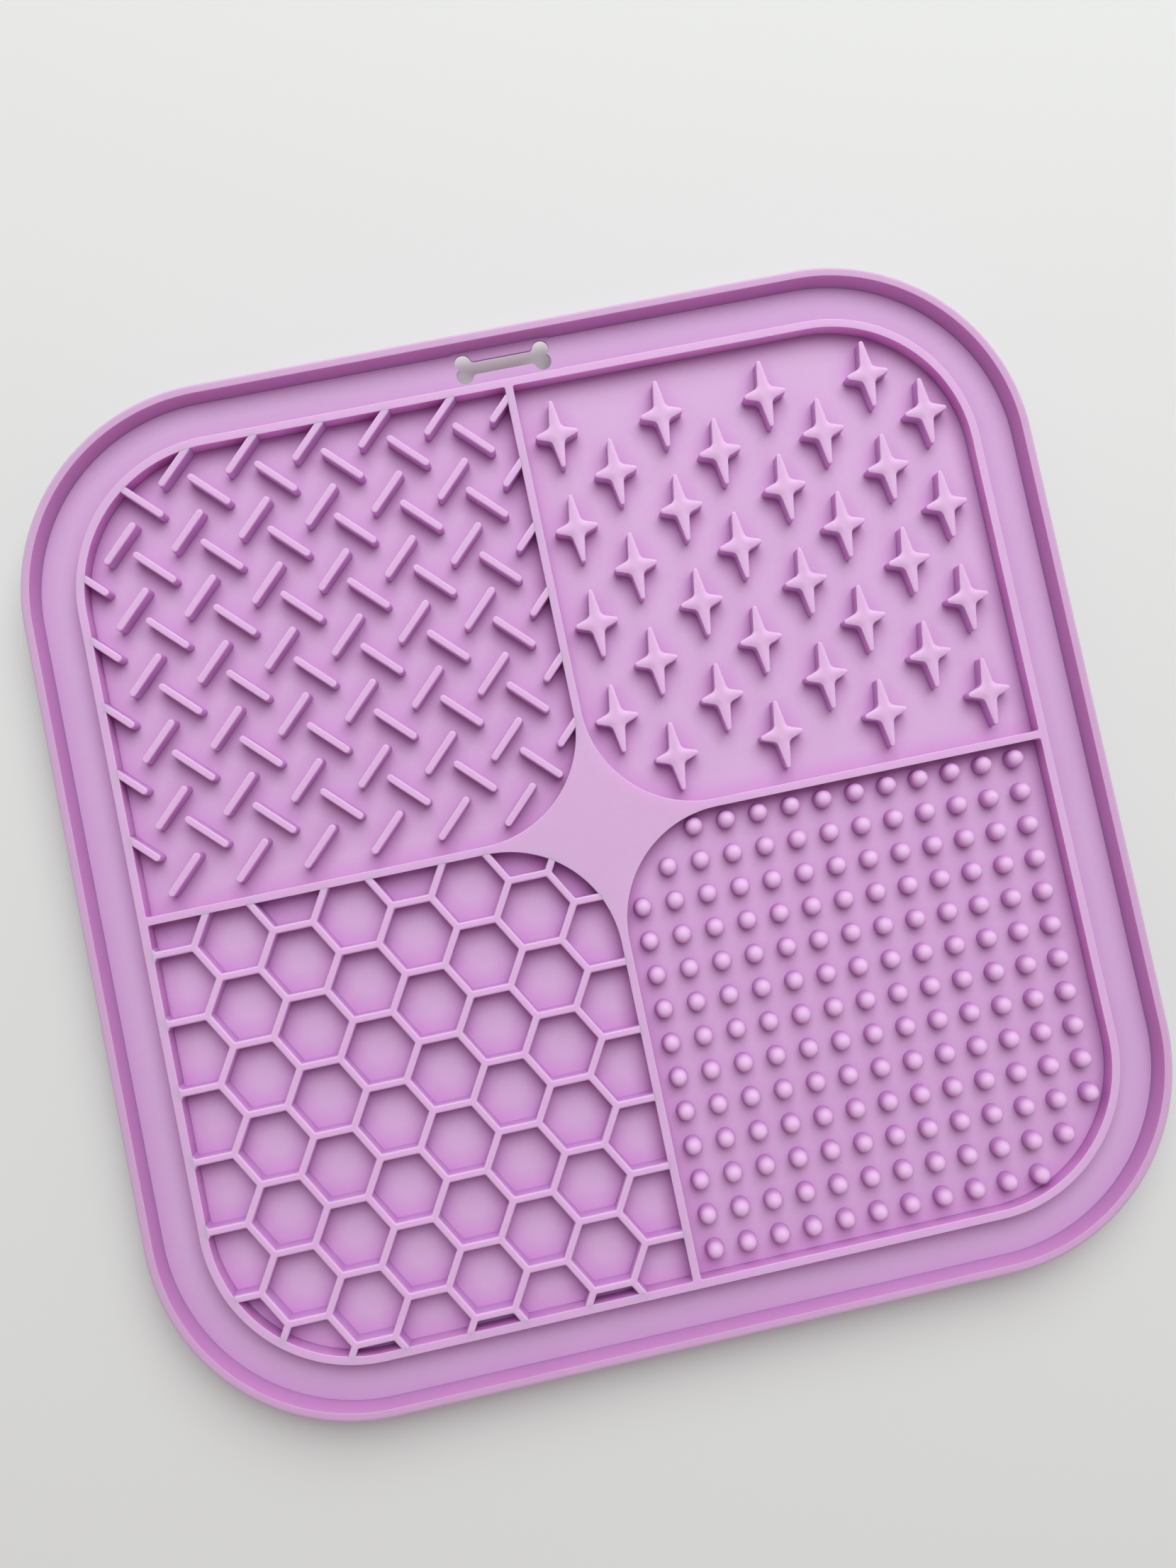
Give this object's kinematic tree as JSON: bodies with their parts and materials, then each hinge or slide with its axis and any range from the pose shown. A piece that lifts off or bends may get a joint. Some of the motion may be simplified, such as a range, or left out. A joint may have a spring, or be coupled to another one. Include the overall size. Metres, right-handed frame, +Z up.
{
  "type": "pet lick mat",
  "caption": "Square silicone lick mat with a raised rim, an outer channel, four fields of licking patterns, a bone-shaped hanging hole and suction cups below.",
  "frame": {"origin": "on the plane of the suction cups' lips, below the centre of the square mat", "axes": "+Z up through the mat's thickness, +Y towards the hanging hole, +X towards the star and dome fields"},
  "size_m": [0.2, 0.2, 0.0084],
  "materials": {
    "silicone": "soft satin food-grade silicone, pale lilac"
  },
  "bodies": {
    "root": {"field_sheet": "silicone", "channel_sheet": "silicone", "hanging_tab": "silicone", "rim_east": "silicone", "rim_north": "silicone", "rim_west": "silicone", "rim_south": "silicone", "inner_wall": "silicone", "centre_star": "silicone", "divider_north": "silicone", "divider_east": "silicone", "divider_south": "silicone", "divider_west": "silicone", "rising_ribs_0": "silicone", "rising_ribs_1": "silicone", "rising_ribs_2": "silicone", "rising_ribs_3": "silicone", "rising_ribs_4": "silicone", "rising_ribs_5": "silicone", "rising_ribs_6": "silicone", "falling_ribs_0": "silicone", "falling_ribs_1": "silicone", "falling_ribs_2": "silicone", "falling_ribs_3": "silicone", "falling_ribs_4": "silicone", "falling_ribs_5": "silicone", "star_nubs_a_0": "silicone", "star_nubs_a_1": "silicone", "star_nubs_a_2": "silicone", "star_nubs_a_3": "silicone", "star_nubs_b_0": "silicone", "star_nubs_b_1": "silicone", "star_nubs_b_2": "silicone", "star_nubs_b_3": "silicone", "honeycomb_level": "silicone", "honeycomb_rising": "silicone", "honeycomb_falling": "silicone", "dome_row_0": "silicone", "dome_row_1": "silicone", "dome_row_2": "silicone", "dome_row_3": "silicone", "dome_row_4": "silicone", "dome_row_5": "silicone", "dome_row_6": "silicone", "dome_row_7": "silicone", "dome_row_8": "silicone", "dome_row_9": "silicone", "dome_row_10": "silicone", "dome_row_11": "silicone", "dome_row_12": "silicone", "cup_row_0": "silicone", "cup_row_1": "silicone", "cup_row_2": "silicone", "cup_row_3": "silicone", "cup_row_4": "silicone", "cup_row_5": "silicone", "cup_row_6": "silicone"}
  },
  "joints": []
}
